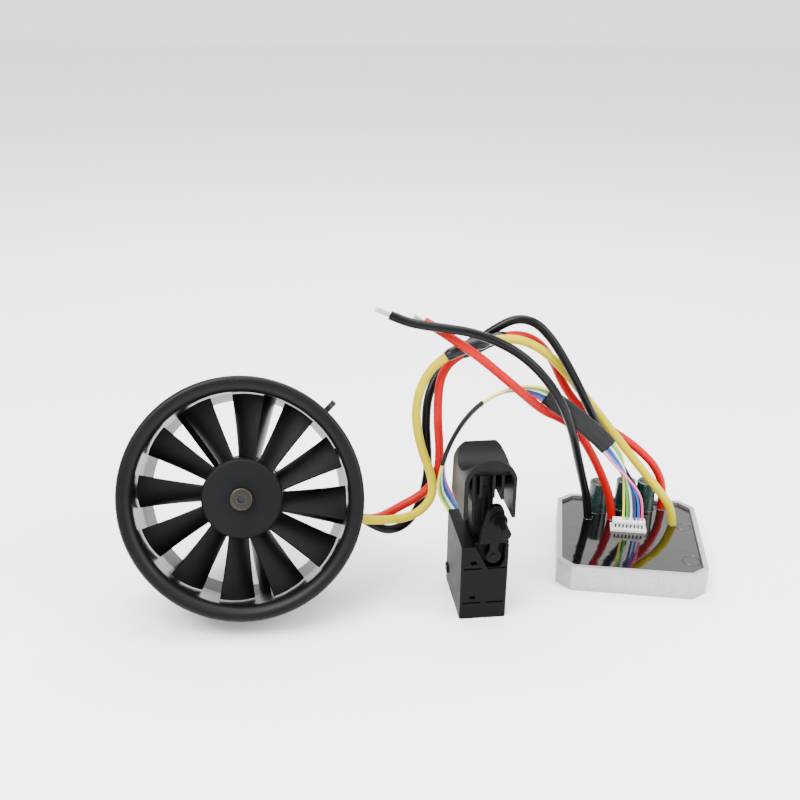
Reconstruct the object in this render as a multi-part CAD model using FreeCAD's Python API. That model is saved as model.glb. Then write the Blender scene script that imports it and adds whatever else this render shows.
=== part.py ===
import FreeCAD, Part
import math
import os

# Power set of a radio-controlled jet: a ducted fan, the trigger switch that commands it, a potted
# speed controller and the leads between them.
# Millimetres, +Z up. The origin is on the bench, at the middle of the three modules' outline.
# The fan's intake and the switch's lever face -Y.

Vec = FreeCAD.Vector

# ---------------------------------------------------------------- driving dimensions
# Ducted fan, in its own frame: local Z runs out of the intake, local Y is 12 o'clock.
FAN_CENTRE = (-66.9, -33.8)          # bench position of the lip's centre
FAN_YAW = 5.4
FAN_TILT = 22.8                      # it leans back on its rear edge
BORE_R = 37.6
LIP_R = 43.1
WALL = 1.6
LIP_THROAT_Z = -3.4
SHROUD_END_Z = -21.0
TAPER_Z = -23.0
DUCT_END_Z = -34.0
DUCT_END_R = 36.8                    # outside radius of the exhaust edge
HUB_R = 14.4
HUB_FACE_Z = -4.3
BLADES = 12
BLADE_PHASE = 5.2                    # clockwise from 12 o'clock
BLADE_TIP_R = 37.1
VANES = 7
VANE_PHASE = 17.0
WIRE_VANE_ANGLE = 104.0              # hollow vane that carries the motor's leads
CUP_R = 14.7
EAR_ANGLES = (80.0, 148.0, 260.0, 328.0)
EAR_SCREW_R = 41.15
LUG_ANGLE = 45.5
LUG_END_R = 47.6
LUG_HOLE_R = 1.6
LUG_HOLE_RADIUS = 43.8
LUG_HOLES_Z = (-11.0, -17.5)

# Motor inside the fan's cup
CAN_R = 13.2
SHAFT_R = 1.6
LEAD_D = 3.4
LEADS_Z = (-27.8, -24.0, -31.6)      # red, yellow, black
MOTOR_SCREWS = [(x, y) for x in (-6.7, 6.7) for y in (-6.7, 6.7)]

# Trigger switch: u across the narrow face, v away from it, z up
SWITCH_CORNER = (10.6, -36.4)
SWITCH_YAW = 7.46
SWITCH_W = 17.16
SWITCH_D = 29.9
SWITCH_H = 29.88
SWITCH_WALL = 1.5
SEAM_U = 8.58
LEVER_PIVOT = (11.7, 25.5)

# Speed controller: u across, v away, from the tray's centre
TRAY_CENTRE = (80.9, 12.0)
TRAY_YAW = -7.6
TRAY_W = 56.9
TRAY_D = 62.0
TRAY_H = 10.5
TRAY_WALL = 1.8
TRAY_CHAMFER = 5.5
POTTING_Z = 9.3
BOARD_Z = 3.0
BOARD_T = 1.6
CAPACITORS = ((-12.0, 20.0, 22.6), (-0.8, 24.0, 22.2), (7.7, 24.8, 22.0))
CAPACITOR_R = 4.0
CONNECTOR = (0.0, 4.4)
PLUG_TOP_Z = 13.6
POSTS = ((22.9, -17.6), (22.6, 9.6))

# Leads. Every route starts where its wire comes out and ends where it goes in, or at its free end.
POWER_D = LEAD_D                     # motor and battery leads, over the insulation
SLEEVE_D = 4.7                       # shrink sleeve over a soldered joint
SIGNAL_D = 1.0
TIP_D = 2.4                          # tinned strands

ROUTES = {
    "phase_wire_red": [
        (-31.7, -8.4, 27.7), (-25.5, -8.4, 26.3), (-20.2, -6.2, 25.4), (-15.6, -3.4, 26.4),
        (-10.8, -1.2, 28.4), (-5.2, 0.2, 31.0), (0.2, 1.4, 35.2), (3.1, 2.8, 41.5), (3.5, 4.0, 49.6), (2.6, 5.4, 59.0), (2.4, 8.0, 68.2),
        (3.2, 11.0, 75.3), (6.0, 13.2, 80.8), (11.8, 15.0, 84.5), (18.9, 17.2, 87.0),
        (26.8, 20.5, 89.4), (34.8, 23.5, 89.0), (42.0, 26.0, 84.6), (47.6, 28.0, 77.0),
        (51.8, 29.0, 68.0), (57.6, 30.0, 59.3), (65.6, 31.0, 51.8), (74.9, 32.0, 45.6),
        (85.2, 33.5, 38.2), (94.8, 35.0, 28.6), (99.6, 35.8, 17.2), (98.9, 35.0, 7.5)],
    "phase_wire_yellow": [
        (-31.4, -11.9, 29.2), (-25.1, -11.9, 27.8), (-19.6, -10.6, 26.9), (-14.0, -8.8, 26.4),
        (-8.4, -7.0, 26.4), (-3.0, -5.2, 28.6),
        (1.2, -3.0, 34.0), (0.4, -1.0, 41.6), (-2.9, 1.0, 49.2), (-5.3, 2.0, 58.5),
        (-5.9, 3.0, 67.0), (-4.1, 5.0, 75.0), (0.0, 7.0, 81.6), (5.7, 8.8, 85.7),
        (12.2, 10.4, 88.4), (19.6, 12.4, 89.9), (27.8, 15.7, 90.1), (36.1, 19.0, 87.8),
        (44.8, 22.0, 81.7), (53.1, 25.4, 72.6), (61.2, 27.8, 62.4), (69.8, 27.6, 52.1),
        (78.2, 25.6, 42.0), (86.4, 22.5, 32.6), (93.6, 20.9, 24.4), (99.6, 20.4, 16.4),
        (100.9, 20.9, 7.5)],
    "phase_wire_black": [
        (-32.0, -4.9, 26.2), (-25.8, -4.9, 24.8), (-20.6, -5.4, 21.4), (-15.4, -5.8, 19.9),
        (-9.8, -2.6, 20.4),
        (-5.2, 2.0, 24.0), (-2.2, 4.8, 30.9), (-0.8, 6.2, 39.2), (-1.2, 7.4, 48.7),
        (-2.0, 9.0, 58.4), (-1.4, 12.4, 67.0), (1.2, 16.0, 73.6), (5.4, 19.4, 78.8),
        (11.4, 21.8, 83.1), (18.2, 23.2, 87.2), (24.7, 23.0, 92.0), (31.6, 23.0, 95.6),
        (38.8, 22.3, 94.6), (45.0, 21.2, 88.8), (50.6, 20.2, 80.6), (56.0, 20.2, 71.4),
        (61.2, 21.2, 61.5), (67.4, 24.9, 49.9), (74.8, 29.0, 37.6), (81.8, 30.2, 26.4),
        (88.0, 30.0, 16.8), (90.4, 29.4, 7.5)],
    "battery_lead_black": [
        (66.9, 26.3, 7.5), (65.5, 24.6, 17.8), (61.8, 19.2, 30.0), (57.6, 12.0, 43.2),
        (54.2, 6.4, 54.8), (50.4, 3.2, 65.0), (45.4, 1.6, 74.3), (39.1, 0.8, 82.4),
        (31.5, 0.6, 89.2), (22.7, 0.8, 94.0), (13.6, 1.6, 96.9), (4.3, 2.8, 97.9),
        (-5.0, 4.0, 98.7), (-11.0, 5.0, 99.9), (-15.6, 5.6, 101.8)],
    "battery_lead_red": [
        (76.7, 25.6, 7.5), (75.4, 25.2, 17.1), (71.8, 23.8, 26.6), (66.8, 21.8, 36.8),
        (61.6, 19.6, 46.0), (56.4, 16.6, 53.9), (49.8, 14.8, 58.8), (42.2, 8.7, 64.0),
        (33.5, 2.6, 73.2), (24.6, 1.0, 81.3), (16.0, 2.8, 87.9), (8.2, 5.2, 92.4),
        (1.8, 8.2, 95.8), (-3.2, 9.8, 98.3)],
}
SLEEVED_POINTS = {"red": (13, 15), "yellow": (13, 15), "black": (12, 14)}
TIPS = {"battery_tip_black": ((-15.6, 5.6, 101.8), (-20.8, 6.4, 104.0)),
        "battery_tip_red": ((-3.2, 9.8, 98.3), (-7.0, 11.0, 100.0))}

# The six signal wires lie side by side: each point has the ribbon's middle and the step from one
# wire to the next, yellow first. It runs from the switch to the plug.
SIGNAL_WIRES = ("yellow", "green", "white", "navy", "blue", "pink")
RIBBON = [
    ((11.3, -7.6, 25.0), (1.10, 0.14, 0.0)), ((11.3, -4.4, 25.0), (1.10, 0.14, 0.0)),
    ((10.4, -1.2, 26.0), (1.10, 0.40, 0.0)), ((7.6, 0.8, 29.4), (0.85, 0.80, 0.15)),
    ((4.9, 0.0, 34.6), (0.70, 0.95, 0.15)), ((4.0, -1.6, 41.0), (0.45, 1.05, 0.0)),
    ((4.6, -2.5, 47.6), (0.20, 1.12, -0.10)), ((6.6, -2.5, 54.2), (0.05, 1.10, -0.40)),
    ((9.6, -1.7, 60.2), (0.10, 1.05, -0.50)), ((13.4, -0.3, 65.5), (0.10, 1.05, -0.50)),
    ((18.2, 1.4, 69.8), (0.10, 1.05, -0.50)), ((23.8, 4.2, 72.3), (0.05, 1.05, -0.55)),
    ((30.0, 7.2, 73.3), (-0.10, 1.00, -0.65)), ((36.2, 8.3, 72.9), (-0.30, 0.75, -0.85)),
    ((42.6, 7.8, 70.8), (-0.58, 0.35, -0.95)), ((49.4, 7.6, 66.2), (-0.72, 0.05, -0.88)),
    ((56.1, 8.2, 60.6), (-0.76, 0.0, -0.85)), ((62.6, 9.6, 54.8), (-0.80, 0.0, -0.82)),
    ((68.9, 11.6, 48.4), (-0.85, -0.10, -0.78)), ((74.2, 13.8, 41.0), (-0.70, -0.80, -0.50)),
    ((78.4, 15.2, 33.4), (0.20, -1.25, 0.0)), ((81.3, 16.0, 25.9), (1.10, -0.75, 0.30)),
    ((82.7, 16.3, 18.8), (1.45, -0.25, 0.15)), ((83.0, 16.2, 12.4), (1.49, -0.20, 0.0)),
]
THIN_SLEEVE_POINTS = (6, 10)
WIDE_SLEEVE_POINTS = (14, 18)

nodes = {}


# ---------------------------------------------------------------- helpers
def outline(place, start, *steps):
    """A closed face. Each step is a point, for a line, or a pair (via, end), for an arc."""
    edges = []
    last = place(*start)
    for step in steps + (start,):
        if isinstance(step[0], tuple):
            via, end = place(*step[0]), place(*step[1])
            edges.append(Part.Arc(last, via, end).toShape())
        else:
            end = place(*step)
            if (end - last).Length > 1e-6:
                edges.append(Part.LineSegment(last, end).toShape())
        last = end
    return Part.Face(Part.Wire(edges))


def in_rz(r, z):
    return Vec(r, 0, z)


def turned(start, *steps):
    """A solid of revolution about Z from an outline in radius and height."""
    return outline(in_rz, start, *steps).revolve(Vec(0, 0, 0), Vec(0, 0, 1), 360)


def tube(inner, outer, z0, z1):
    return turned((inner, z0), (outer, z0), (outer, z1), (inner, z1))


def rod(radius, z0, z1, x=0.0, y=0.0):
    return Part.makeCylinder(radius, z1 - z0, Vec(x, y, z0))


def rod_along(radius, start, end):
    axis = Vec(*end) - Vec(*start)
    return Part.makeCylinder(radius, axis.Length, Vec(*start), axis)


def block(x0, x1, y0, y1, z0, z1):
    return Part.makeBox(x1 - x0, y1 - y0, z1 - z0, Vec(x0, y0, z0))


def fused(shapes):
    return shapes[0].multiFuse(shapes[1:]).removeSplitter()


def group(shapes):
    return Part.makeCompound(shapes)


def turn(shape, clockwise):
    """A copy turned clockwise, as seen from the intake."""
    copy = shape.copy()
    copy.rotate(Vec(0, 0, 0), Vec(0, 0, 1), -clockwise)
    return copy


def polar(radius, clockwise, z):
    """Fan point at a radius and a clockwise angle from 12 o'clock."""
    angle = math.radians(clockwise)
    return (radius * math.sin(angle), radius * math.cos(angle), z)


# ---------------------------------------------------------------- ducted fan
def inlet_ring():
    skirt_r = BORE_R + WALL + 1.1
    return turned(
        (BORE_R, LIP_THROAT_Z),
        ((BORE_R + 1.0, 0.1), (BORE_R + 3.5, 1.2)),
        ((LIP_R - 0.64, 0.95), (LIP_R, 0.0)),
        ((LIP_R - 0.44, -0.9), (LIP_R - 1.64, -1.3)),
        ((LIP_R - 2.4, -1.7), (skirt_r, -2.8)),
        (skirt_r, -7.6),
        (BORE_R + WALL, -7.6),
        (BORE_R + WALL, LIP_THROAT_Z),
    )


def clamp_ear(z0, z1):
    ear = block(-3.6, 3.6, BORE_R + 0.8, EAR_SCREW_R + 1.75, z0, z1)
    return ear.cut(rod(1.05, z0 - 1, z1 + 1, 0, EAR_SCREW_R))


def mounting_lug():
    """A thin plate that stands out of the duct, with its thickness across the radius."""
    plate = block(-1.0, 1.0, BORE_R + 0.8, LUG_END_R, LUG_HOLES_Z[1] - 3.2, LUG_HOLES_Z[0] + 3.2)
    corners = [e for e in plate.Edges
               if abs(e.BoundBox.YMin - LUG_END_R) < 1e-6 and e.BoundBox.XLength > 1.9
               and e.BoundBox.ZLength < 1e-6]
    plate = plate.makeFillet(3.5, corners)
    for z in LUG_HOLES_Z:
        plate = plate.cut(rod_along(LUG_HOLE_R, (-3, LUG_HOLE_RADIUS, z), (3, LUG_HOLE_RADIUS, z)))
    return plate


def rotor_shroud():
    pieces = [tube(BORE_R, BORE_R + WALL, SHROUD_END_Z, LIP_THROAT_Z)]
    pieces.append(turn(mounting_lug(), LUG_ANGLE))
    pieces += [turn(clamp_ear(SHROUD_END_Z, SHROUD_END_Z + 3), a) for a in EAR_ANGLES]
    return fused(pieces)


def curved_plate(y, lead, trail, camber, thickness):
    """Closed cambered section at height y, from leading edge to trailing edge, both (x, z)."""
    lead, trail = Vec(lead[0], y, lead[1]), Vec(trail[0], y, trail[1])
    chord = trail - lead
    normal = Vec(-chord.z, 0, chord.x).normalize()
    if normal.z < 0:
        normal = normal * -1
    middle = (lead + trail) * 0.5
    edge = normal * (thickness * 0.25)
    front = middle + normal * (camber + thickness / 2)
    back = middle + normal * (camber - thickness / 2)
    return Part.Wire([
        Part.Arc(lead + edge, front, trail + edge).toShape(),
        Part.LineSegment(trail + edge, trail - edge).toShape(),
        Part.Arc(trail - edge, back, lead - edge).toShape(),
        Part.LineSegment(lead - edge, lead + edge).toShape(),
    ])


def fan_blade():
    """Leading edge on the clockwise side; steep at the root and flat at the tip."""
    root = curved_plate(HUB_R - 0.9, (3.6, -5.6), (-2.2, -17.4), 1.2, 1.7)
    middle = curved_plate(25.4, (4.6, -7.0), (-3.9, -16.6), 1.3, 1.4)
    tip = curved_plate(38.6, (6.2, -8.2), (-6.4, -15.2), 1.2, 1.0)
    blade = Part.makeLoft([root, middle, tip], True, False)
    return blade.common(rod(BLADE_TIP_R, -20, 0))


def fan_rotor():
    hub = turned(
        (2.6, HUB_FACE_Z),
        (HUB_R - 1.3, HUB_FACE_Z),
        ((HUB_R - 0.38, HUB_FACE_Z - 0.38), (HUB_R, HUB_FACE_Z - 1.3)),
        (HUB_R, -17.8),
        (HUB_R - 1.4, -17.8),
        (HUB_R - 1.4, HUB_FACE_Z - 1.8),
        (5.2, HUB_FACE_Z - 1.8),
        (5.2, -14.5),
        (2.6, -14.5),
    )
    blade = fan_blade()
    blades = [turn(blade, BLADE_PHASE + i * 360 / BLADES) for i in range(BLADES)]
    return fused([hub] + blades)


def rotor_hardware():
    nodes["shaft_adapter"] = fan(tube(SHAFT_R, 2.6, -15.5, HUB_FACE_Z))
    nut = turned((2.35, HUB_FACE_Z), (4.0, HUB_FACE_Z), (4.0, -1.5), ((3.85, -1.15), (3.5, -1.0)),
                 (2.35, -1.0))
    nodes["rotor_nut"] = fan(nut)
    screw = rod(2.3, HUB_FACE_Z, -1.4)
    hexagon = [Vec(1.5 * math.cos(i * math.pi / 3), 1.5 * math.sin(i * math.pi / 3), -3.4)
               for i in range(6)]
    socket = Part.Face(Part.makePolygon(hexagon + [hexagon[0]])).extrude(Vec(0, 0, 3))
    nodes["rotor_screw"] = fan(screw.cut(socket))
    nodes["motor_shaft"] = fan(rod(SHAFT_R, -49.5, HUB_FACE_Z))
    nodes["motor_magnet"] = fan(tube(SHAFT_R, 7.0, -43.5, -26.5))


def stator_vane():
    section = Part.Face(curved_plate(CUP_R - 0.9, (-2.4, -21.8), (1.2, -32.6), 1.2, 1.5))
    return section.extrude(Vec(0, 26, 0))


def slot_block(width, z0, z1, y0, y1):
    """A radial bar with rounded leading and trailing edges."""
    half = width / 2
    face = outline(lambda x, z: Vec(x, y0, z), (half, z1 - half), ((0, z1), (-half, z1 - half)),
                   (-half, z0 + half), ((0, z0), (half, z0 + half)))
    return face.extrude(Vec(0, y1 - y0, 0))


def stator_housing():
    ring = turned((BORE_R, SHROUD_END_Z), (BORE_R + WALL, SHROUD_END_Z), (BORE_R + WALL, TAPER_Z),
                  (DUCT_END_R, DUCT_END_Z), (DUCT_END_R - WALL, DUCT_END_Z), (BORE_R, TAPER_Z))
    room = turned((CUP_R, -21.2), (BORE_R, -21.2), (BORE_R, TAPER_Z),
                  (DUCT_END_R - WALL, DUCT_END_Z), (CUP_R, DUCT_END_Z))
    cup = turned((CAN_R + 0.5, -38.0), (CUP_R, -38.0), (CUP_R, -19.9),
                 ((CUP_R - 0.35, -19.05), (CUP_R - 1.2, -18.7)), (5.0, -18.7), (5.0, -20.7),
                 (CAN_R + 0.5, -20.7))
    angles = [VANE_PHASE + i * 360 / VANES for i in range(VANES)]
    thin = [a for a in angles if abs(a - WIRE_VANE_ANGLE) > 20]
    hollow = turn(slot_block(7.0, -34.0, -21.3, CUP_R - 0.9, BORE_R + 1), WIRE_VANE_ANGLE).common(room)
    slot = turn(slot_block(4.4, -33.5, -22.1, 12.0, 42.0), WIRE_VANE_ANGLE)
    vanes = [turn(stator_vane(), a).common(room) for a in thin] + [hollow.cut(slot)]
    ears = [turn(clamp_ear(SHROUD_END_Z - 3, SHROUD_END_Z), a) for a in EAR_ANGLES]
    for x, y in MOTOR_SCREWS:
        cup = cup.cut(rod(1.6, -23, -18, x, y))
    nodes["stator_housing"] = fan(fused([ring] + ears).cut(slot))
    nodes["motor_cup"] = fan(cup.cut(slot))
    nodes["stator_vanes"] = fan(group(vanes))


def socket_screw(length, radius, head_r, head_h):
    """Screw along -Z with its head's seat at Z = 0."""
    screw = rod(head_r, 0, head_h).fuse(rod(radius, -length, 0))
    return screw.cut(rod(head_r * 0.5, head_h * 0.45, head_h + 1))


def motor():
    can = turned((CAN_R - 1.3, -48.0), (CAN_R, -48.0), (CAN_R, -20.7), (5.0, -20.7),
                 (5.0, -22.0), (CAN_R - 1.3, -22.0))
    window = turn(block(-2.6, 2.6, 8.0, 14.0, -33.7, -22.1), WIRE_VANE_ANGLE)
    for x, y in MOTOR_SCREWS:
        can = can.cut(rod(1.5, -25, -20, x, y))
    nodes["motor_can"] = fan(can.cut(window))
    cap = turned((2.4, -51.0), (CAN_R - 1.2, -51.0), ((CAN_R - 0.35, -50.6), (CAN_R, -49.8)),
                 (CAN_R, -48.0), (5.0, -48.0), (5.0, -49.6), (2.4, -49.6))
    nodes["motor_end_cap"] = fan(cap)
    nodes["stator_core"] = fan(tube(8.4, CAN_R - 1.3, -44, -26).cut(window))
    coil = turned((7.6, -46.5), (11.0, -46.5), (11.0, -44.0), (8.4, -44.0), (8.4, -26.0),
                  (11.0, -26.0), (11.0, -24.5), (7.6, -24.5))
    nodes["motor_windings"] = fan(coil.cut(window))
    bearings = [tube(SHAFT_R + 0.05, 5.0, -23.2, -20.8), tube(SHAFT_R + 0.05, 5.0, -49.6, -47.2)]
    nodes["motor_bearings"] = fan(group(bearings))
    screw = socket_screw(3.2, 1.5, 2.6, 0.6)
    nodes["motor_screws"] = fan(group([screw.translated(Vec(x, y, -18.7)) for x, y in MOTOR_SCREWS]))
    leads = [rod_along(LEAD_D / 2, (0, 9.0, z), (0, 38.6, z)) for z in LEADS_Z]
    nodes["motor_leads"] = fan(group([turn(lead, WIRE_VANE_ANGLE) for lead in leads]))


def wire_grommet():
    body = slot_block(4.4, -33.5, -22.1, 35.6, 39.4)
    flange = slot_block(6.6, -34.0, -21.6, 39.4, 40.7)
    body = body.fuse(flange)
    for z in LEADS_Z:
        body = body.cut(rod_along(LEAD_D / 2, (0, 33, z), (0, 44, z)))
    return turn(body, WIRE_VANE_ANGLE)


def duct_screws():
    screw = socket_screw(6.0, 1.05, 1.8, 1.6)
    return group([screw.translated(Vec(*polar(EAR_SCREW_R, a, SHROUD_END_Z + 3)))
                  for a in EAR_ANGLES])


def fan(shape):
    """Stands a fan piece on the bench, yawed and tilted back on its lip."""
    tilt = math.radians(FAN_TILT)
    height = DUCT_END_R * math.cos(tilt) - DUCT_END_Z * math.sin(tilt)
    spin = FreeCAD.Rotation(Vec(0, 0, 1), FAN_YAW).multiply(
        FreeCAD.Rotation(Vec(1, 0, 0), 90 - FAN_TILT))
    place = FreeCAD.Placement(Vec(*FAN_CENTRE, height), spin)
    placed = shape.copy()
    placed.Placement = place.multiply(placed.Placement)
    return placed


def ducted_fan():
    nodes["inlet_ring"] = fan(inlet_ring())
    nodes["rotor_shroud"] = fan(rotor_shroud())
    stator_housing()
    nodes["duct_screws"] = fan(duct_screws())
    nodes["fan_rotor"] = fan(fan_rotor())
    nodes["wire_grommet"] = fan(wire_grommet())
    rotor_hardware()
    motor()


# ---------------------------------------------------------------- trigger switch
def switch(shape):
    spin = FreeCAD.Rotation(Vec(0, 0, 1), SWITCH_YAW)
    place = FreeCAD.Placement(Vec(*SWITCH_CORNER, 0), spin)
    placed = shape.copy()
    placed.Placement = place.multiply(placed.Placement)
    return placed


def along_v(v0, v1, start, *steps):
    """Prism along v from an outline in (u, z)."""
    return outline(lambda u, z: Vec(u, v0, z), start, *steps).extrude(Vec(0, v1 - v0, 0))


def along_u(u0, u1, start, *steps):
    """Prism along u from an outline in (v, z)."""
    return outline(lambda v, z: Vec(u0, v, z), start, *steps).extrude(Vec(u1 - u0, 0, 0))


def switch_shells():
    t = SWITCH_WALL
    case = block(0, SWITCH_W, 0, SWITCH_D, 0, SWITCH_H)
    upright = [e for e in case.Edges if e.BoundBox.ZLength > 20]
    case = case.makeFillet(0.8, upright)
    room = block(t, SWITCH_W - t, 5.0, SWITCH_D - t, t, SWITCH_H - t)
    lever_pocket = block(t, SWITCH_W - t, 0.9, 3.4, 19.0, SWITCH_H - t)
    notch = along_v(-1, 3.4, (4.4, SWITCH_H + 1), (9.4, 21.2), (14.0, 21.2), (15.7, 24.5),
                    (15.7, SWITCH_H + 1))
    plunger_slot = block(4.6, 12.6, 8.0, 20.0, SWITCH_H - t - 1, SWITCH_H + 1)
    wire_slot = block(1.0, 8.2, SWITCH_D - 2.6, SWITCH_D + 1, 24.2, 25.8)
    case = case.cut(room).cut(lever_pocket).cut(notch).cut(plunger_slot).cut(wire_slot)
    for z in (6.7, 21.0):
        case = case.cut(block(1.0, 7.5, -1, 0.5, z - 0.35, z + 0.35))
        case = case.cut(block(9.6, 16.2, -1, 0.5, z - 0.35, z + 0.35))
        case = case.cut(block(3.4, 5.6, -1, 1.0, z + 1.6, z + 3.0))
    latch = block(-0.7, 0, 24.5, 28.0, 5.0, 8.0)
    case = case.fuse(latch)
    left = case.common(block(-2, SEAM_U, -2, 40, -1, 40))
    right = case.common(block(SEAM_U, 30, -2, 40, -1, 40))
    pin_hole = rod_along(1.2, (LEVER_PIVOT[0], 0, LEVER_PIVOT[1]), (LEVER_PIVOT[0], 5.5, LEVER_PIVOT[1]))
    nodes["switch_shell_left"] = switch(left)
    nodes["switch_shell_right"] = switch(right.cut(pin_hole))
    pin = rod_along(1.2, (LEVER_PIVOT[0], 0.2, LEVER_PIVOT[1]), (LEVER_PIVOT[0], 5.0, LEVER_PIVOT[1]))
    nodes["lever_pin"] = switch(pin)


def direction_lever():
    pu, pz = LEVER_PIVOT
    hub = rod_along(2.7, (pu, 0.5, pz), (pu, 3.0, pz))
    neck = block(pu - 1.6, pu + 1.6, 0.5, 3.0, pz, 31.5)
    plate = along_v(0.5, 3.0, (6.3, 30.8), (9.3, 43.6), ((12.0, 45.6), (14.7, 43.6)), (17.1, 30.8))
    peg = rod_along(2.0, (13.2, -9.6, 39.6), (13.2, 1.0, 39.6))
    boss = rod_along(3.0, (12.9, -0.5, 39.9), (12.9, 0.6, 39.9))
    lever = fused([hub, neck, plate, boss, peg])
    tip = [e for e in lever.Edges if abs(e.BoundBox.YMin + 9.6) < 1e-6 and e.BoundBox.YLength < 1e-6]
    lever = lever.makeFillet(0.5, tip)
    return lever.cut(rod_along(1.25, (pu, -1, pz), (pu, 4, pz)))


def trigger_hood():
    outer_side = along_u(-1, 20, (0, 41.2), (24.0, 41.2), (21.6, 61.6), ((10.5, 56.2), (0, 63.4)))
    outer_end = along_v(-1, 26, (0, 41.2), (0, 55.4), ((8.4, 63.4), (18.5, 56.6)), (18.5, 41.2))
    inner_side = along_u(-1, 20, (-1, 40), (22.5, 40), (20.0, 59.4), ((10.5, 54.2), (-1, 61.8)))
    inner_end = along_v(-1, 26, (1.5, 40), (1.5, 54.6), ((8.6, 61.6), (17.3, 55.8)), (17.3, 40))
    room = inner_side.common(inner_end)
    hood = outer_side.common(outer_end).cut(room)
    ribs = [block(u - 0.5, u + 0.5, 3.6, 21.5, 46.5, 60).common(room) for u in (4.0, 14.4)]
    ribs += [block(u - 0.5, u + 0.5, 3.6, 21.5, 47.5, 60).common(room) for u in (6.6, 11.2)]
    return fused([hood] + ribs)


def trigger_parts():
    nodes["trigger_hood"] = switch(trigger_hood())
    stem = block(7.2, 10.6, 12.0, 16.0, 22.0, 53.0).cut(trigger_hood())
    nodes["trigger_plunger"] = switch(stem)
    nodes["wiper_contact"] = switch(block(5.6, 7.1, 12.6, 15.4, 18.0, 25.0))
    turns = 5
    helix = Part.makeHelix(15.0 / turns, 15.0, 3.4)
    ring = Part.Wire([Part.makeCircle(0.4, Vec(3.4, 0, 0), Vec(0, 1, 0))])
    spring = Part.Wire(helix).makePipeShell([ring], True, True)
    nodes["return_spring"] = switch(spring.translated(Vec(8.9, 14.0, 31.2)))
    nodes["direction_lever"] = switch(direction_lever())


def switch_inside():
    nodes["contact_board"] = switch(block(3.2, 4.4, 6.0, 26.0, 3.0, 26.0))
    tabs = [block(4.4, 5.0, v, v + 2.4, 6.0, 22.0) for v in (8.0, 12.6, 17.0, 21.4)]
    nodes["contact_terminals"] = switch(group(tabs))


# ---------------------------------------------------------------- speed controller
def tray(shape):
    spin = FreeCAD.Rotation(Vec(0, 0, 1), TRAY_YAW)
    place = FreeCAD.Placement(Vec(*TRAY_CENTRE, 0), spin)
    placed = shape.copy()
    placed.Placement = place.multiply(placed.Placement)
    return placed


def chamfered(width, depth, chamfer, z0, z1):
    w, d = width / 2, depth / 2
    face = outline(lambda x, y: Vec(x, y, z0), (-w + chamfer, -d), (w - chamfer, -d),
                   (w, -d + chamfer), (w, d - chamfer), (w - chamfer, d), (-w + chamfer, d),
                   (-w, d - chamfer), (-w, -d + chamfer))
    return face.extrude(Vec(0, 0, z1 - z0))


def speed_controller():
    t = TRAY_WALL
    shell = chamfered(TRAY_W, TRAY_D, TRAY_CHAMFER, 0, TRAY_H)
    room = chamfered(TRAY_W - 2 * t, TRAY_D - 2 * t, TRAY_CHAMFER - 0.8, t, TRAY_H + 1)
    posts = [rod(3.4, t, BOARD_Z, x, y) for x, y in POSTS]
    nodes["heat_tray"] = tray(fused([shell.cut(room)] + posts))
    board = chamfered(TRAY_W - 8, TRAY_D - 6, 3.0, BOARD_Z, BOARD_Z + BOARD_T)
    for x, y in POSTS:
        board = board.cut(rod(1.6, 0, 9, x, y))
    nodes["circuit_board"] = tray(board)
    top = BOARD_Z + BOARD_T
    screws = [rod(3.0, top, top + 2.2, x, y).fuse(rod(1.6, BOARD_Z, top, x, y)) for x, y in POSTS]
    nodes["board_screws"] = tray(group(screws))
    transistors = [block(-22 + i * 7.4, -16.4 + i * 7.4, -26 + row * 8, -20 + row * 8, top, top + 1.6)
                   for row in range(2) for i in range(5)]
    nodes["power_transistors"] = tray(group(transistors))
    chips = [block(-8, -1, -6, 1, top, top + 1.2), block(8, 13, -5, -1, top, top + 1.4)]
    nodes["control_chips"] = tray(group(chips))
    cans = []
    for x, y, height in CAPACITORS:
        can = rod(CAPACITOR_R, top, height, x, y)
        rim = [e for e in can.Edges if e.BoundBox.ZMin > height - 1e-3]
        cans.append(can.makeFillet(0.6, rim))
    nodes["capacitors"] = tray(group(cans))
    cx, cy = CONNECTOR
    header = block(cx - 7.1, cx + 7.1, cy - 2.7, cy + 2.7, top, 10.4)
    header = header.cut(block(cx - 6.5, cx + 6.5, cy - 2.1, cy + 2.1, top + 1.4, 11))
    nodes["connector_header"] = tray(header)
    plug = block(cx - 6.4, cx + 6.4, cy - 2.0, cy + 2.0, 6.6, PLUG_TOP_Z)
    nodes["connector_plug"] = tray(plug)
    pins = [block(cx + p - 0.3, cx + p + 0.3, cy - 0.3, cy + 0.3, top + 1.4, 6.6)
            for p in (-5.25 + 1.5 * i for i in range(8))]
    nodes["connector_pins"] = tray(group(pins))
    resin = chamfered(TRAY_W - 2 * t, TRAY_D - 2 * t, TRAY_CHAMFER - 0.8, t, POTTING_Z)
    buried = [chamfered(TRAY_W - 8, TRAY_D - 6, 3.0, BOARD_Z, top)]
    buried += [rod(3.4, t - 1, top + 2.2, x, y) for x, y in POSTS]
    buried += [rod(CAPACITOR_R, top, 30, x, y) for x, y, _ in CAPACITORS]
    buried += [block(cx - 7.1, cx + 7.1, cy - 2.7, cy + 2.7, top, 20)]
    for piece in buried + transistors + chips:
        resin = resin.cut(piece)
    nodes["potting"] = tray(resin)


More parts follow.
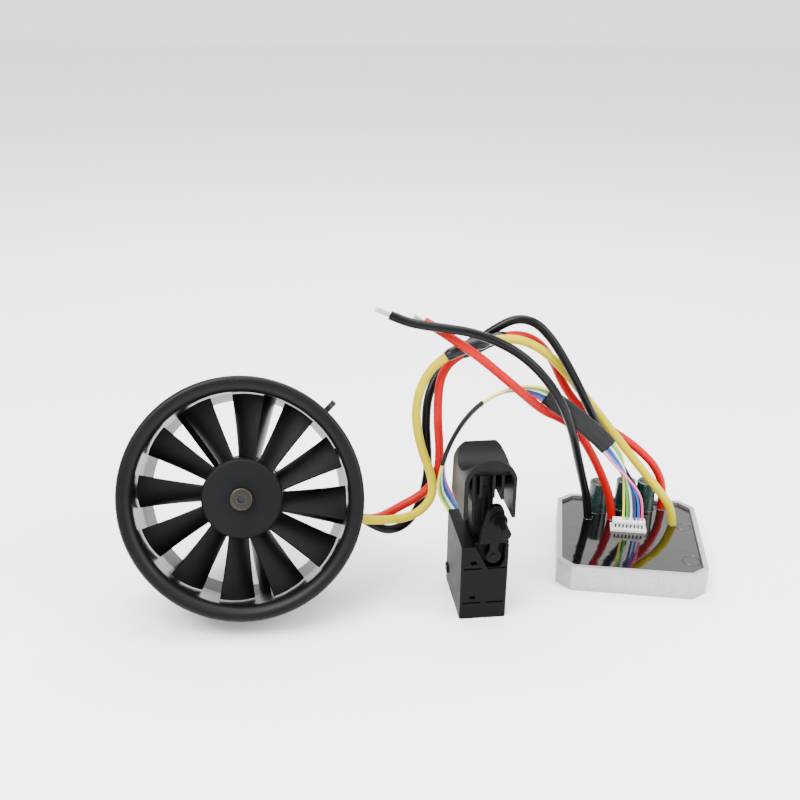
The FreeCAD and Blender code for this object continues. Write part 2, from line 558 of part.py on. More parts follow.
# ---------------------------------------------------------------- leads
def rounded_route(points):
    """Edges of the path: straight runs joined by arcs as large as the runs allow, and the radii."""
    points = [Vec(*point) for point in points]
    edges, radii = [], []
    start = points[0]
    for before, corner, after in zip(points, points[1:], points[2:]):
        into = (corner - before).normalize()
        out = (after - corner).normalize()
        half = into.getAngle(out) / 2
        cut = 0.45 * min(before.distanceToPoint(corner), corner.distanceToPoint(after))
        radius = cut / math.tan(half)
        bisector = (out - into).normalize()
        arc_start, arc_end = corner - into * cut, corner + out * cut
        middle = corner + bisector * (radius / math.cos(half) - radius)
        edges.append(Part.LineSegment(start, arc_start).toShape())
        edges.append(Part.Arc(arc_start, middle, arc_end).toShape())
        radii.append(radius)
        start = arc_end
    edges.append(Part.LineSegment(start, points[-1]).toShape())
    return edges, radii


def swept(edges, diameter):
    path = Part.Wire(edges)
    first = edges[0]
    begin = first.valueAt(first.FirstParameter)
    circle = Part.makeCircle(diameter / 2, begin, first.tangentAt(first.FirstParameter))
    return path.makePipeShell([Part.Wire([circle])], True, False)


def cord(name, points, diameter):
    edges, radii = rounded_route(points)
    solid = swept(edges, diameter)
    length = sum(edge.Length for edge in edges)
    section = math.pi * diameter ** 2 / 4
    print("%-20s length %.0f, volume ratio %.4f, tightest radius %.1f = %.1f diameters" % (
        name, length, solid.Volume / (section * length), min(radii), min(radii) / diameter))
    print("   radii", " ".join("%.0f" % radius for radius in radii))
    nodes[name] = solid
    return edges


def joint_sleeve(edges, diameter, first, last):
    """Shrink sleeve round a lead, over the whole arcs at the covered points."""
    covered = edges[2 * first - 1:2 * last]
    return swept(covered, SLEEVE_D).cut(swept(covered, diameter + 0.2))


def ribbon_wire(index):
    """Route of one signal wire, counted from the ribbon's first edge."""
    offset = index - (len(SIGNAL_WIRES) - 1) / 2
    return [tuple(m + offset * s for m, s in zip(middle, step)) for middle, step in RIBBON]


def ribbon_section(index, half_width, half_thickness):
    """Stadium round the six wires at one point of the ribbon."""
    middle = Vec(*RIBBON[index][0])
    before, after = Vec(*RIBBON[index - 1][0]), Vec(*RIBBON[index + 1][0])
    tangent = (after - before).normalize()
    across = Vec(*RIBBON[index][1])
    across = (across - tangent * across.dot(tangent)).normalize()
    normal = tangent.cross(across)

    def at(x, y):
        return middle + across * x + normal * y

    side = half_width - half_thickness
    t = half_thickness
    return Part.Wire([
        Part.LineSegment(at(-side, -t), at(side, -t)).toShape(),
        Part.Arc(at(side, -t), at(side + t, 0), at(side, t)).toShape(),
        Part.LineSegment(at(side, t), at(-side, t)).toShape(),
        Part.Arc(at(-side, t), at(-side - t, 0), at(-side, -t)).toShape(),
    ])


def ribbon_sleeve(first, last, half_width):
    outer, inner = [], []
    for index in range(first, last + 1):
        outer.append(ribbon_section(index, half_width, 1.1))
        inner.append(ribbon_section(index, half_width - 0.25, 0.85))
    return Part.makeLoft(outer, True, True).cut(Part.makeLoft(inner, True, True))


def leads():
    for name, points in ROUTES.items():
        edges = cord(name, points, POWER_D)
        if name.startswith("phase"):
            covered = SLEEVED_POINTS[name.split("_")[-1]]
            nodes[name.replace("wire", "sleeve")] = joint_sleeve(edges, POWER_D, *covered)
    for name, (start, end) in TIPS.items():
        nodes[name] = rod_along(TIP_D / 2, start, end)
    for index, colour in enumerate(SIGNAL_WIRES):
        cord("signal_wire_" + colour, ribbon_wire(index), SIGNAL_D)
    nodes["signal_sleeve_thin"] = ribbon_sleeve(*THIN_SLEEVE_POINTS, 3.9)
    nodes["signal_sleeve_wide"] = ribbon_sleeve(*WIDE_SLEEVE_POINTS, 3.75)


# the origin moves to the middle of the outline of the fan, switch and controller
TO_MIDDLE = Vec(-0.475, 2.903, 0)

ducted_fan()
leads()
switch_shells()
trigger_parts()
switch_inside()
speed_controller()

os.makedirs("parts", exist_ok=True)
for name, piece in nodes.items():
    shape = piece.translated(TO_MIDDLE)
    shape.exportStep("parts/" + name + ".step")
    box = shape.BoundBox
    print("%-20s solids %2d valid %s  x %.1f..%.1f y %.1f..%.1f z %.1f..%.1f" % (
        name, len(shape.Solids), shape.isValid(), box.XMin, box.XMax, box.YMin, box.YMax,
        box.ZMin, box.ZMax))
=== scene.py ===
import math
import random

import bmesh
import bpy
from mathutils import Matrix, Vector


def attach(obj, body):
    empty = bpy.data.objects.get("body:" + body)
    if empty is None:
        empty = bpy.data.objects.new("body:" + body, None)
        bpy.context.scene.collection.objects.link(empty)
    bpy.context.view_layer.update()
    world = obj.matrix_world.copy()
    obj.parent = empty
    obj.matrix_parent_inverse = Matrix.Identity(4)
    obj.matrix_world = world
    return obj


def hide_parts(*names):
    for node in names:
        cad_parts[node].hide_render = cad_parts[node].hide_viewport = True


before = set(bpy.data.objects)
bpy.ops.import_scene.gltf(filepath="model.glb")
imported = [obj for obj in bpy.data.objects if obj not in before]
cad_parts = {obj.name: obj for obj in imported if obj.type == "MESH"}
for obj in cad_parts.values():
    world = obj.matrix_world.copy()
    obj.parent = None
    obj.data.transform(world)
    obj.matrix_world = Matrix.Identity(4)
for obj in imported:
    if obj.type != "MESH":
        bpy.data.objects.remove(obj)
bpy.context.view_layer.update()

MM = 0.001
TO_MIDDLE = Vector((-0.475, 2.903, 0))       # mm, to the middle of the outline, as in the CAD

# ---------------------------------------------------------------- camera
CAMERA_AT = (-0.012475, -0.354897, 0.21454)
CAMERA_PITCH = 26.7
CAMERA_ROLL = 0.5
CAMERA_LENS = 47.11
CAMERA_SHIFT = (0.0017, 0.112)


def make_camera():
    data = bpy.data.cameras.new("Camera")
    data.lens = CAMERA_LENS
    data.sensor_width = 36
    data.shift_x, data.shift_y = CAMERA_SHIFT
    data.clip_start, data.clip_end = 0.01, 10
    camera = bpy.data.objects.new("Camera", data)
    bpy.context.collection.objects.link(camera)
    turn = (Matrix.Rotation(math.radians(90 - CAMERA_PITCH), 4, "X")
            @ Matrix.Rotation(math.radians(CAMERA_ROLL), 4, "Z"))
    camera.matrix_world = Matrix.Translation(CAMERA_AT) @ turn
    bpy.context.scene.camera = camera


make_camera()

# ---------------------------------------------------------------- routes, as in the CAD
ROUTES = {
    "phase_wire_red": [
        (-31.7, -8.4, 27.7), (-25.5, -8.4, 26.3), (-20.2, -6.2, 25.4), (-15.6, -3.4, 26.4),
        (-10.8, -1.2, 28.4), (-5.2, 0.2, 31.0), (0.2, 1.4, 35.2), (3.1, 2.8, 41.5),
        (3.5, 4.0, 49.6), (2.6, 5.4, 59.0), (2.4, 8.0, 68.2),
        (3.2, 11.0, 75.3), (6.0, 13.2, 80.8), (11.8, 15.0, 84.5), (18.9, 17.2, 87.0),
        (26.8, 20.5, 89.4), (34.8, 23.5, 89.0), (42.0, 26.0, 84.6), (47.6, 28.0, 77.0),
        (51.8, 29.0, 68.0), (57.6, 30.0, 59.3), (65.6, 31.0, 51.8), (74.9, 32.0, 45.6),
        (85.2, 33.5, 38.2), (94.8, 35.0, 28.6), (99.6, 35.8, 17.2), (98.9, 35.0, 7.5)],
    "phase_wire_yellow": [
        (-31.4, -11.9, 29.2), (-25.1, -11.9, 27.8), (-19.6, -10.6, 26.9), (-14.0, -8.8, 26.4),
        (-8.4, -7.0, 26.4), (-3.0, -5.2, 28.6),
        (1.2, -3.0, 34.0), (0.4, -1.0, 41.6), (-2.9, 1.0, 49.2), (-5.3, 2.0, 58.5),
        (-5.9, 3.0, 67.0), (-4.1, 5.0, 75.0), (0.0, 7.0, 81.6), (5.7, 8.8, 85.7),
        (12.2, 10.4, 88.4), (19.6, 12.4, 89.9), (27.8, 15.7, 90.1), (36.1, 19.0, 87.8),
        (44.8, 22.0, 81.7), (53.1, 25.4, 72.6), (61.2, 27.8, 62.4), (69.8, 27.6, 52.1),
        (78.2, 25.6, 42.0), (86.4, 22.5, 32.6), (93.6, 20.9, 24.4), (99.6, 20.4, 16.4),
        (100.9, 20.9, 7.5)],
    "phase_wire_black": [
        (-32.0, -4.9, 26.2), (-25.8, -4.9, 24.8), (-20.6, -5.4, 21.4), (-15.4, -5.8, 19.9),
        (-9.8, -2.6, 20.4),
        (-5.2, 2.0, 24.0), (-2.2, 4.8, 30.9), (-0.8, 6.2, 39.2), (-1.2, 7.4, 48.7),
        (-2.0, 9.0, 58.4), (-1.4, 12.4, 67.0), (1.2, 16.0, 73.6), (5.4, 19.4, 78.8),
        (11.4, 21.8, 83.1), (18.2, 23.2, 87.2), (24.7, 23.0, 92.0), (31.6, 23.0, 95.6),
        (38.8, 22.3, 94.6), (45.0, 21.2, 88.8), (50.6, 20.2, 80.6), (56.0, 20.2, 71.4),
        (61.2, 21.2, 61.5), (67.4, 24.9, 49.9), (74.8, 29.0, 37.6), (81.8, 30.2, 26.4),
        (88.0, 30.0, 16.8), (90.4, 29.4, 7.5)],
    "battery_lead_black": [
        (66.9, 26.3, 7.5), (65.5, 24.6, 17.8), (61.8, 19.2, 30.0), (57.6, 12.0, 43.2),
        (54.2, 6.4, 54.8), (50.4, 3.2, 65.0), (45.4, 1.6, 74.3), (39.1, 0.8, 82.4),
        (31.5, 0.6, 89.2), (22.7, 0.8, 94.0), (13.6, 1.6, 96.9), (4.3, 2.8, 97.9),
        (-5.0, 4.0, 98.7), (-11.0, 5.0, 99.9), (-15.6, 5.6, 101.8)],
    "battery_lead_red": [
        (76.7, 25.6, 7.5), (75.4, 25.2, 17.1), (71.8, 23.8, 26.6), (66.8, 21.8, 36.8),
        (61.6, 19.6, 46.0), (56.4, 16.6, 53.9), (49.8, 14.8, 58.8), (42.2, 8.7, 64.0),
        (33.5, 2.6, 73.2), (24.6, 1.0, 81.3), (16.0, 2.8, 87.9), (8.2, 5.2, 92.4),
        (1.8, 8.2, 95.8), (-3.2, 9.8, 98.3)],
}
TIPS = {"battery_tip_black": ((-15.6, 5.6, 101.8), (-20.8, 6.4, 104.0)),
        "battery_tip_red": ((-3.2, 9.8, 98.3), (-7.0, 11.0, 100.0))}
SIGNAL_WIRES = ("yellow", "green", "white", "navy", "blue", "pink")
RIBBON = [
    ((11.3, -7.6, 25.0), (1.10, 0.14, 0.0)), ((11.3, -4.4, 25.0), (1.10, 0.14, 0.0)),
    ((10.4, -1.2, 26.0), (1.10, 0.40, 0.0)), ((7.6, 0.8, 29.4), (0.85, 0.80, 0.15)),
    ((4.9, 0.0, 34.6), (0.70, 0.95, 0.15)), ((4.0, -1.6, 41.0), (0.45, 1.05, 0.0)),
    ((4.6, -2.5, 47.6), (0.20, 1.12, -0.10)), ((6.6, -2.5, 54.2), (0.05, 1.10, -0.40)),
    ((9.6, -1.7, 60.2), (0.10, 1.05, -0.50)), ((13.4, -0.3, 65.5), (0.10, 1.05, -0.50)),
    ((18.2, 1.4, 69.8), (0.10, 1.05, -0.50)), ((23.8, 4.2, 72.3), (0.05, 1.05, -0.55)),
    ((30.0, 7.2, 73.3), (-0.10, 1.00, -0.65)), ((36.2, 8.3, 72.9), (-0.30, 0.75, -0.85)),
    ((42.6, 7.8, 70.8), (-0.58, 0.35, -0.95)), ((49.4, 7.6, 66.2), (-0.72, 0.05, -0.88)),
    ((56.1, 8.2, 60.6), (-0.76, 0.0, -0.85)), ((62.6, 9.6, 54.8), (-0.80, 0.0, -0.82)),
    ((68.9, 11.6, 48.4), (-0.85, -0.10, -0.78)), ((74.2, 13.8, 41.0), (-0.70, -0.80, -0.50)),
    ((78.4, 15.2, 33.4), (0.20, -1.25, 0.0)), ((81.3, 16.0, 25.9), (1.10, -0.75, 0.30)),
    ((82.7, 16.3, 18.8), (1.45, -0.25, 0.15)), ((83.0, 16.2, 12.4), (1.49, -0.20, 0.0)),
]
POWER_D = 3.4
SIGNAL_D = 1.0


# ---------------------------------------------------------------- materials
class Shader:
    """A node material with the few building blocks the surfaces here share."""

    def __init__(self, name):
        self.material = bpy.data.materials.new(name)
        self.material.use_nodes = True
        self.tree = self.material.node_tree
        self.bsdf = self.tree.nodes["Principled BSDF"]
        self.coords = self.node("ShaderNodeTexCoord").outputs["Object"]

    def node(self, kind, **values):
        made = self.tree.nodes.new(kind)
        for key, value in values.items():
            if key in made.inputs:
                made.inputs[key].default_value = value
            else:
                setattr(made, key, value)
        return made

    def link(self, a, b):
        self.tree.links.new(a, b)

    def noise(self, scale, detail=4.0, stretch=None):
        source = self.coords
        if stretch:
            mapping = self.node("ShaderNodeMapping")
            mapping.inputs["Scale"].default_value = stretch
            self.link(source, mapping.inputs["Vector"])
            source = mapping.outputs["Vector"]
        made = self.node("ShaderNodeTexNoise", Scale=scale, Detail=detail)
        self.link(source, made.inputs["Vector"])
        return made.outputs["Fac"]

    def ramp(self, fac, stops):
        made = self.node("ShaderNodeValToRGB")
        elements = made.color_ramp.elements
        while len(elements) < len(stops):
            elements.new(0.5)
        for element, (at, colour) in zip(elements, stops):
            element.position = at
            element.color = (*colour, 1)
        self.link(fac, made.inputs["Fac"])
        return made.outputs["Color"]

    def spread(self, fac, low, high):
        made = self.node("ShaderNodeMapRange")
        made.inputs["To Min"].default_value = low
        made.inputs["To Max"].default_value = high
        self.link(fac, made.inputs["Value"])
        return made.outputs["Result"]

    def bump(self, height, strength, distance, under=None):
        made = self.node("ShaderNodeBump", Strength=strength, Distance=distance)
        self.link(height, made.inputs["Height"])
        if under is not None:
            self.link(under, made.inputs["Normal"])
        return made.outputs["Normal"]


def surface(name, dark, light, rough, metallic=0.0, mottle=60.0, grain=2500.0, relief=0.15,
            depth=0.00004, coat=0.0, coat_rough=0.1, stretch=None, specular=0.5):
    """Colour that drifts between two tones, roughness that drifts with it and a fine grain."""
    s = Shader(name)
    drift = s.noise(mottle, 3.0, stretch)
    s.link(s.ramp(drift, [(0.3, dark), (0.7, light)]), s.bsdf.inputs["Base Color"])
    s.link(s.spread(s.noise(mottle * 2.3, 5.0, stretch), rough[0], rough[1]),
           s.bsdf.inputs["Roughness"])
    s.bsdf.inputs["Metallic"].default_value = metallic
    s.bsdf.inputs["Specular IOR Level"].default_value = specular
    s.bsdf.inputs["Coat Weight"].default_value = coat
    s.bsdf.inputs["Coat Roughness"].default_value = coat_rough
    fine = s.bump(s.noise(grain, 2.0), relief, depth)
    s.link(fine, s.bsdf.inputs["Normal"])
    return s.material


def grey(value):
    return (value, value, value * 1.03)


def ink(value):
    """The blue-black of moulded nylon."""
    return (value, value * 1.1, value * 1.5)


MATERIALS = {
    "ring_plastic": surface("ring_plastic", ink(0.0012), ink(0.0022), (0.34, 0.48), relief=0.35,
                            grain=1600, specular=0.14),
    "duct_plastic": surface("duct_plastic", ink(0.0015), ink(0.0028), (0.26, 0.38), grain=2200,
                            relief=0.25, specular=0.25),
    "rotor_plastic": surface("rotor_plastic", ink(0.0012), ink(0.0024), (0.5, 0.66), grain=2600,
                             relief=0.45, specular=0.12),
    "black_screw": surface("black_screw", grey(0.02), grey(0.03), (0.3, 0.42), metallic=0.8),
    "grommet_rubber": surface("grommet_rubber", grey(0.015), grey(0.022), (0.55, 0.7)),
    "turned_aluminium": surface("turned_aluminium", (0.035, 0.031, 0.025), (0.065, 0.058, 0.046),
                                (0.28, 0.42), metallic=1.0, grain=900, relief=0.2),
    "machined_steel": surface("machined_steel", grey(0.04), grey(0.07), (0.25, 0.38), metallic=1.0),
    "ground_steel": surface("ground_steel", grey(0.55), grey(0.65), (0.15, 0.25), metallic=1.0),
    "anodised": surface("anodised", grey(0.06), grey(0.09), (0.3, 0.42), metallic=0.7),
    "cast": surface("cast", grey(0.2), grey(0.3), (0.4, 0.55), metallic=1.0),
    "copper": surface("copper", (0.45, 0.17, 0.08), (0.6, 0.26, 0.13), (0.25, 0.4), metallic=1.0,
                      mottle=300),
    "silicone_red": surface("silicone_red", (0.34, 0.0, 0.001), (0.44, 0.001, 0.002),
                            (0.3, 0.42), mottle=90, grain=1500, relief=0.1, depth=0.00006,
                            specular=0.14),
    "silicone_yellow": surface("silicone_yellow", (0.42, 0.34, 0.0), (0.48, 0.39, 0.0),
                               (0.3, 0.42), mottle=90, grain=1500, relief=0.1, depth=0.00006,
                               specular=0.1),
    "silicone_black": surface("silicone_black", ink(0.0008), ink(0.0014), (0.24, 0.34), mottle=90,
                              grain=1500, relief=0.1, depth=0.00006, specular=0.16),
    "shrink_gloss": surface("shrink_gloss", ink(0.0018), ink(0.003), (0.3, 0.4), mottle=140,
                            grain=600, relief=0.1, depth=0.00006, specular=0.3),
    "shrink_satin": surface("shrink_satin", ink(0.002), ink(0.0036), (0.4, 0.52), mottle=140,
                            grain=900, relief=0.15, depth=0.00008, specular=0.22),
    "tinned": surface("tinned", (0.55, 0.54, 0.5), (0.75, 0.74, 0.7), (0.2, 0.36), metallic=1.0),
    "switch_plastic": surface("switch_plastic", ink(0.0008), ink(0.0016), (0.4, 0.55), grain=2600,
                              relief=0.4, specular=0.08),
    "hood_plastic": surface("hood_plastic", ink(0.001), ink(0.002), (0.38, 0.5), grain=2600,
                            relief=0.3, specular=0.12),
    "acetal": surface("acetal", (0.7, 0.69, 0.64), (0.78, 0.77, 0.72), (0.35, 0.45)),
    "brass": surface("brass", (0.6, 0.42, 0.14), (0.72, 0.52, 0.2), (0.22, 0.36), metallic=1.0),
    "spring_steel": surface("spring_steel", grey(0.4), grey(0.55), (0.2, 0.3), metallic=1.0),
    "fibreglass": surface("fibreglass", (0.02, 0.09, 0.04), (0.03, 0.12, 0.055), (0.3, 0.42)),
    "tray_aluminium": surface("tray_aluminium", grey(0.34), grey(0.42), (0.4, 0.52),
                              metallic=0.9, mottle=900, grain=2400, relief=0.8, depth=0.00014),
    "chip_epoxy": surface("chip_epoxy", grey(0.02), grey(0.03), (0.5, 0.6)),
    "capacitor_sleeve": surface("capacitor_sleeve", (0.004, 0.02, 0.017), (0.012, 0.045, 0.036),
                                (0.16, 0.28), mottle=420, coat=0.4),
    "nylon_white": surface("nylon_white", (0.76, 0.75, 0.70), (0.84, 0.83, 0.79), (0.32, 0.45),
                           grain=1800),
    "potting": surface("potting", (0.0016, 0.0013, 0.0016), (0.003, 0.0024, 0.003), (0.05, 0.1),
                       mottle=70, grain=95, relief=0.35, depth=0.0006, coat=0.5, coat_rough=0.03),
}
for colour, dark, light in (
        ("yellow", (0.80, 0.62, 0.02), (0.88, 0.72, 0.06)),
        ("green", (0.02, 0.34, 0.05), (0.04, 0.42, 0.08)),
        ("white", (0.72, 0.73, 0.74), (0.82, 0.82, 0.82)),
        ("navy", (0.02, 0.03, 0.13), (0.03, 0.05, 0.18)),
        ("blue", (0.01, 0.10, 0.5), (0.02, 0.15, 0.6)),
        ("pink", (0.75, 0.07, 0.22), (0.82, 0.12, 0.28))):
    MATERIALS["signal_" + colour] = surface("signal_" + colour, dark, light, (0.3, 0.42), mottle=120)

NODE_MATERIALS = {
    "ring_plastic": ["inlet_ring"],
    "duct_plastic": ["rotor_shroud", "stator_housing", "motor_cup", "stator_vanes"],
    "rotor_plastic": ["fan_rotor"],
    "black_screw": ["duct_screws"],
    "grommet_rubber": ["wire_grommet"],
    "turned_aluminium": ["shaft_adapter", "rotor_nut"],
    "machined_steel": ["rotor_screw", "motor_screws", "board_screws"],
    "ground_steel": ["motor_shaft", "motor_bearings"],
    "anodised": ["motor_can", "motor_end_cap"],
    "cast": ["motor_magnet", "stator_core"],
    "copper": ["motor_windings"],
    "silicone_black": ["motor_leads"],
    "switch_plastic": ["switch_shell_left", "switch_shell_right", "direction_lever", "lever_pin"],
    "hood_plastic": ["trigger_hood"],
    "acetal": ["trigger_plunger"],
    "brass": ["wiper_contact", "contact_terminals", "connector_pins"],
    "spring_steel": ["return_spring"],
    "fibreglass": ["contact_board", "circuit_board"],
    "tray_aluminium": ["heat_tray"],
    "chip_epoxy": ["power_transistors", "control_chips"],
    "capacitor_sleeve": ["capacitors"],
    "nylon_white": ["connector_header", "connector_plug"],
    "potting": ["potting"],
}
for key, names in NODE_MATERIALS.items():
    for name in names:
        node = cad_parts[name]
        for slot in node.material_slots:
            slot.material = MATERIALS[key]


# ---------------------------------------------------------------- cords
def metres(points):
    return [(Vector(p) + TO_MIDDLE) * MM for p in points]


def spline_of(name, points):
    """A curve object with one smooth NURBS spline through the route."""
    data = bpy.data.curves.new(name, "CURVE")
    data.dimensions = "3D"
    data.resolution_u = 12
    spline = data.splines.new("NURBS")
    spline.points.add(len(points) - 1)
    for point, at in zip(spline.points, metres(points)):
        point.co = (*at, 1)
    spline.order_u = 3
    spline.use_endpoint_u = True
    made = bpy.data.objects.new(name, data)
    bpy.context.collection.objects.link(made)
    return made


def wire(name, points, diameter, material):
    made = spline_of(name, points)
    made.data.bevel_depth = diameter / 2 * MM
    made.data.bevel_resolution = 6
    made.data.use_fill_caps = True
    made.data.materials.append(MATERIALS[material])
    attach(made, "base")
    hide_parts(name)
    return made


def centre_line(points):
    """Points read from the smooth spline."""
    bare = spline_of("bare", points)
    mesh = bpy.data.meshes.new_from_object(bare)
    line = [v.co.copy() for v in mesh.vertices]
    bpy.data.meshes.remove(mesh)
    bpy.data.curves.remove(bare.data)
    return line


def mesh_object(name, vertices, faces, material, smooth=True):
    mesh = bpy.data.meshes.new(name)
    mesh.from_pydata(vertices, [], faces)
    work = bmesh.new()
    work.from_mesh(mesh)
    bmesh.ops.recalc_face_normals(work, faces=work.faces)
    work.to_mesh(mesh)
    work.free()
    for polygon in mesh.polygons:
        polygon.use_smooth = smooth
    mesh.materials.append(MATERIALS[material])
    made = bpy.data.objects.new(name, mesh)
    bpy.context.collection.objects.link(made)
    return made


def skin(rings, closed=True, capped=False):
    """Quads between successive rings of the same number of points."""
    count = len(rings[0])
    vertices = [p for ring in rings for p in ring]
    faces = []
    for i in range(len(rings) - 1):
        for j in range(count if closed else count - 1):
            k = (j + 1) % count
            faces.append((i * count + j, i * count + k, (i + 1) * count + k, (i + 1) * count + j))
    if capped:
        faces.append(tuple(range(count)))
        faces.append(tuple(range(len(vertices) - count, len(vertices))))
    return vertices, faces


def merged(*parts):
    """Several shapes as one list of vertices and faces."""
    vertices, faces = [], []
    for new_vertices, new_faces in parts:
        faces += [tuple(v + len(vertices) for v in face) for face in new_faces]
        vertices += new_vertices
    return vertices, faces


def ring_at(centre, tangent, radius, count=24, twist=0.0):
    side = tangent.cross(Vector((0.2, 0.9, 0.4))).normalized()
    other = tangent.cross(side).normalized()
    return [centre + (side * math.cos(a) + other * math.sin(a)) * radius
            for a in (twist + 2 * math.pi * j / count for j in range(count))]


def along(line, i):
    before, after = line[max(i - 1, 0)], line[min(i + 1, len(line) - 1)]
    return (after - before).normalized()


def shrink_sleeve(name, route, first, last, seed):
    """A shrunk sleeve over a soldered joint: it bulges over the joint and nips in at both ends."""
    line = centre_line(ROUTES[route])
    per = len(line) / (len(ROUTES[route]) - 2)
    start, end = int((first - 0.6) * per), int((last - 0.35) * per)
    rng = random.Random(seed)
    phase = rng.uniform(0, 6)
    rings = []
    inner = POWER_D / 2 * MM
    rings.append(ring_at(line[start], along(line, start), inner * 1.01))
    for i in range(start, end + 1):
        t = (i - start) / (end - start)
        nip = min(1.0, min(t, 1 - t) / 0.12)
        swell = 0.55 * nip + 0.12 * math.sin(phase + 15 * t) * nip
        rings.append(ring_at(line[i], along(line, i), inner + (0.12 + swell) * MM))
    rings.append(ring_at(line[end], along(line, end), inner * 1.01))
    made = mesh_object(name, *skin(rings), "shrink_gloss")
    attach(made, "base")
    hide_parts(name)
    return made


def ribbon_route(index):
    offset = index - (len(SIGNAL_WIRES) - 1) / 2
    return [tuple(m + offset * s for m, s in zip(middle, step)) for middle, step in RIBBON]


def ribbon_sleeve(name, first, last, half_thickness):
    """A flat sleeve shrunk onto the ribbon, with a soft ridge over every wire."""
    one, other = centre_line(ribbon_route(0)), centre_line(ribbon_route(5))
    per = len(one) / (len(RIBBON) - 2)
    start, end = int((first - 0.5) * per), int((last - 0.5) * per)
    rings = []
    for i in range(start, end + 1):
        middle = (one[i] + other[i]) / 2
        tangent = ((one[i + 1] + other[i + 1]) / 2 - (one[i - 1] + other[i - 1]) / 2).normalized()
        across = other[i] - one[i]
        half = across.length / 2 + (SIGNAL_D / 2 + 0.18) * MM
        across = (across - tangent * across.dot(tangent)).normalized()
        normal = tangent.cross(across)
        ring = []
        for j in range(72):
            a = 2 * math.pi * j / 72
            x = math.copysign(abs(math.cos(a)) ** 0.45, math.cos(a)) * half
            y = math.copysign(abs(math.sin(a)) ** 0.7, math.sin(a)) * half_thickness * MM
            ridge = 1 + 0.07 * math.cos(2 * math.pi * x / (1.1 * MM))
            ring.append(middle + across * x + normal * y * ridge)
        rings.append(ring)
    made = mesh_object(name, *skin(rings), "shrink_satin")
    thick = made.modifiers.new("wall", "SOLIDIFY")
    thick.thickness = 0.12 * MM
    thick.offset = 1
    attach(made, "base")
    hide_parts(name)
    return made


def strand_tip(name, start, end, seed):
    """Tinned strands, twisted together and a little splayed at the cut end."""
    start, end = metres((start, end))
    axis = (end - start).normalized()
    side = axis.cross(Vector((0, 0, 1))).normalized()
    up = axis.cross(side)
    rng = random.Random(seed)
    strands = []
    spots = [(0.0, 0.0)] + [(0.42, i * 60) for i in range(6)]
    spots += [(0.82, i * 30 + 15) for i in range(12)]
    for radius, angle in spots:
        reach = (end - start).length * rng.uniform(0.93, 1.0)
        rings = []
        for i in range(9):
            t = i / 8
            a = math.radians(angle + 70 * t)
            r = radius * (1 + 0.1 * t * t + 0.06 * rng.uniform(-1, 1) * t) * MM
            centre = start - axis * 0.0006 + axis * (reach + 0.0006) * t
            centre += side * math.cos(a) * r + up * math.sin(a) * r
            rings.append(ring_at(centre, axis, 0.22 * MM, 8))
        strands.append(skin(rings, capped=True))
    made = mesh_object(name + "_strands", *merged(*strands), "tinned")
    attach(made, "base")
    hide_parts(name)
    return made


for colour, first in (("red", 13), ("yellow", 13), ("black", 12)):
    shrink_sleeve("phase_sleeve_" + colour, "phase_wire_" + colour,
                                    first, first + 2, first)
tips = {colour: strand_tip("battery_tip_" + colour, *TIPS["battery_tip_" + colour], seed)
        for seed, colour in enumerate(("black", "red"))}
thin_sleeve = ribbon_sleeve("signal_sleeve_thin", 6, 10, 0.72)
wide_sleeve = ribbon_sleeve("signal_sleeve_wide", 14, 18, 0.78)

for colour in ("red", "yellow", "black"):
    name = "phase_wire_" + colour
    made = wire(name, ROUTES[name], POWER_D, "silicone_" + colour)
for colour in ("black", "red"):
    name = "battery_lead_" + colour
    made = wire(name, ROUTES[name], POWER_D, "silicone_" + colour)
for index, colour in enumerate(SIGNAL_WIRES):
    name = "signal_wire_" + colour
    route = ribbon_route(index)
    made = wire(name, route, SIGNAL_D, "signal_" + colour)


# ---------------------------------------------------------------- switch and controller details
def placed(corner, yaw):
    at = metres([(*corner, 0)])[0]
    return Matrix.Translation(at) @ Matrix.Rotation(math.radians(yaw), 4, "Z")


SWITCH = placed((10.6, -36.4), 7.46)
TRAY = placed((80.9, 12.0), -7.6)


def rounded_box(x0, x1, y0, y1, z0, z1, radius, steps=4):
    """Vertices and faces of an upright bar with rounded corners."""
    rings = []
    for z in (z0, z1):
        ring = []
        for cx, cy, turn in ((x1 - radius, y1 - radius, 0), (x0 + radius, y1 - radius, 90),
                             (x0 + radius, y0 + radius, 180), (x1 - radius, y0 + radius, 270)):
            for i in range(steps + 1):
                a = math.radians(turn + 90 * i / steps)
                ring.append(Vector((cx + radius * math.cos(a), cy + radius * math.sin(a), z)) * MM)
        rings.append(ring)
    return skin(rings, capped=True)


def lathe(profile, centre, count=48):
    """Vertices and faces turned about a vertical axis from (radius, height) points."""
    rings = []
    for r, z in profile:
        rings.append([Vector((centre[0] + r * math.cos(a), centre[1] + r * math.sin(a), z)) * MM
                      for a in (2 * math.pi * j / count for j in range(count))])
    return skin(rings, capped=True)


def piece(name, shape, place, material, body, smooth=False):
    vertices, faces = shape
    made = mesh_object(name, [place @ v for v in vertices], faces, material, smooth)
    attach(made, body)
    return made


def trigger_stem():
    """The hood's square stem: its foot stays in the case's slot, its front ribs end above the case."""
    bar = rounded_box(4.75, 12.45, 8.2, 19.8, 28.0, 56.0, 0.8)
    ribs = [rounded_box(u - 0.35, u + 0.35, 7.6, 8.4, 36.4, 50.0, 0.2) for u in (6.4, 8.6, 10.8)]
    made = piece("trigger_stem", merged(bar, *ribs), SWITCH, "hood_plastic", "trigger")
    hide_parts("trigger_plunger", "return_spring")


# across, back and height of each can above the tray's base
CAPACITORS = ((-12.0, 20.0, 22.6), (-0.8, 24.0, 22.2), (7.7, 24.8, 22.0))


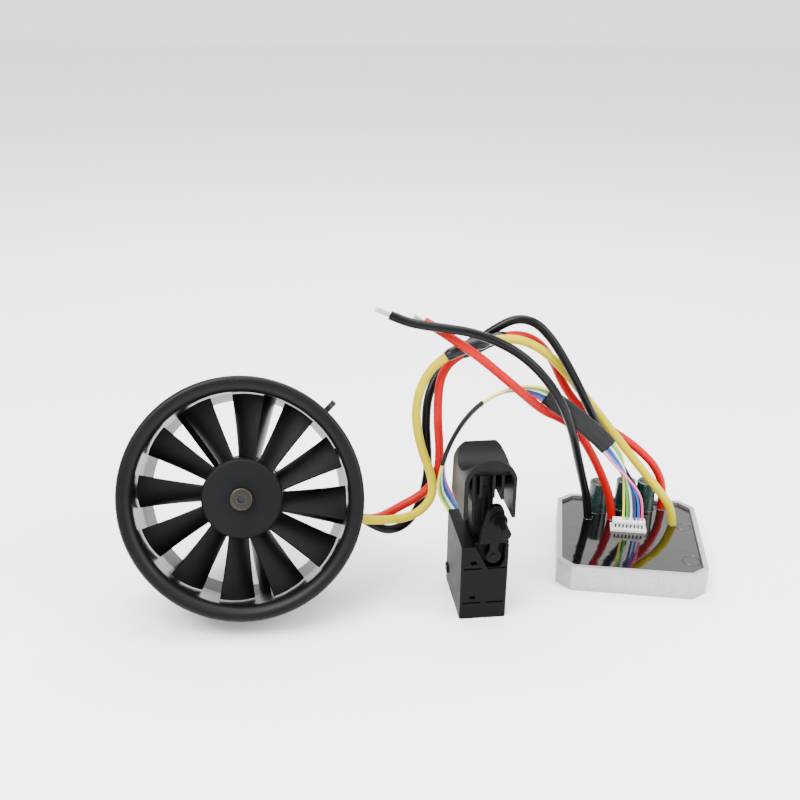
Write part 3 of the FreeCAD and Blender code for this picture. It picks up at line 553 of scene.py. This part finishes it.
def capacitor_tops():
    parts = []
    for x, y, height in CAPACITORS:
        parts.append(lathe([(3.1, height - 0.02), (3.1, height + 0.06), (0.2, height + 0.06)], (x, y)))
    piece("capacitor_tops", merged(*parts), TRAY, "turned_aluminium", "base", True)


def plug_window_painted_shade():
    """The plug's contact windows as thin dark patches on its front, painted shade standing in for
    their depth, and the step along its top edge.
    """
    # painted shade: thin dark patches stand in for the shade inside the recessed contact windows
    parts = [rounded_box(p - 0.34, p + 0.34, 4.4 - 2.06, 4.4 - 1.9, 10.9, 12.4, 0.05)
             for p in (-5.25 + 1.5 * i for i in range(8))]
    piece("plug_window_painted_shade", merged(*parts), TRAY, "chip_epoxy", "base")
    rims = [rounded_box(p - 0.5, p + 0.5, 4.4 - 2.35, 4.4 - 1.95, 12.5, 13.5, 0.1)
            for p in (-4.5 + 1.5 * i for i in range(7))]
    piece("plug_rim", merged(*rims), TRAY, "nylon_white", "base")


def torus(centre, radius, thick, height, squash=1.0):
    rings = []
    for i in range(48):
        a = 2 * math.pi * i / 48
        out = Vector((math.cos(a), math.sin(a) * squash, 0))
        middle = Vector((centre[0], centre[1], height)) + out * radius
        aside = out.normalized() * thick
        rings.append([(middle + aside * math.cos(b) + Vector((0, 0, thick * math.sin(b)))) * MM
                      for b in (2 * math.pi * j / 10 for j in range(10))])
    rings.append(rings[0])
    return skin(rings)


def potting_marks():
    """Raised lips where the resin climbed: round the screw posts, the leads and the capacitors."""
    parts = [torus((22.9, -17.6), 3.3, 0.28, 9.25, 1.15), torus((22.6, 9.6), 2.9, 0.22, 9.25)]
    parts += [torus((x, y), 4.25, 0.3, 9.25) for x, y, _ in CAPACITORS]
    lead_ends = [ROUTES["battery_lead_" + colour][0] for colour in ("black", "red")]
    lead_ends += [ROUTES["phase_wire_" + colour][-1] for colour in ("black", "yellow", "red")]
    back = TRAY.inverted()
    for end in metres(lead_ends):
        at = back @ end / MM
        parts.append(torus((at.x, at.y), 1.95, 0.35, 9.2))
    piece("potting_marks", merged(*parts), TRAY, "potting", "base", True)


trigger_stem()
capacitor_tops()
plug_window_painted_shade()
potting_marks()


# ---------------------------------------------------------------- floor and light
WORLD_STRENGTH = 1.9
FLOOR_HALF = 3.0


def studio():
    h = FLOOR_HALF
    corners = [(-h, -h, 0), (h, -h, 0), (h, h, 0), (-h, h, 0)]
    floor = mesh_object("floor", corners, [(0, 1, 2, 3)], "floor", smooth=False)
    world = bpy.data.worlds.new("world")
    world.use_nodes = True
    world.node_tree.nodes["Background"].inputs["Color"].default_value = (1, 1, 1, 1)
    world.node_tree.nodes["Background"].inputs["Strength"].default_value = WORLD_STRENGTH
    bpy.context.scene.world = world
    for name, at, aim, size, power in (
            ("key", (-0.35, -0.35, 0.75), (0, 0, 0.03), 0.5, 14.0),
            ("fill", (0.55, -0.25, 0.45), (0.02, 0, 0.03), 0.5, 6.0),
            ("top", (0.0, 0.25, 0.8), (0, 0.02, 0.03), 0.7, 12.0)):
        data = bpy.data.lights.new(name, "AREA")
        data.energy = power
        data.size = size
        lamp = bpy.data.objects.new(name, data)
        bpy.context.collection.objects.link(lamp)
        lamp.location = at
        lamp.rotation_euler = (Vector(aim) - Vector(at)).to_track_quat("-Z", "Y").to_euler()


MATERIALS["floor"] = surface("floor", (0.93, 0.93, 0.93), (0.95, 0.95, 0.95), (0.7, 0.8), mottle=4)
studio()
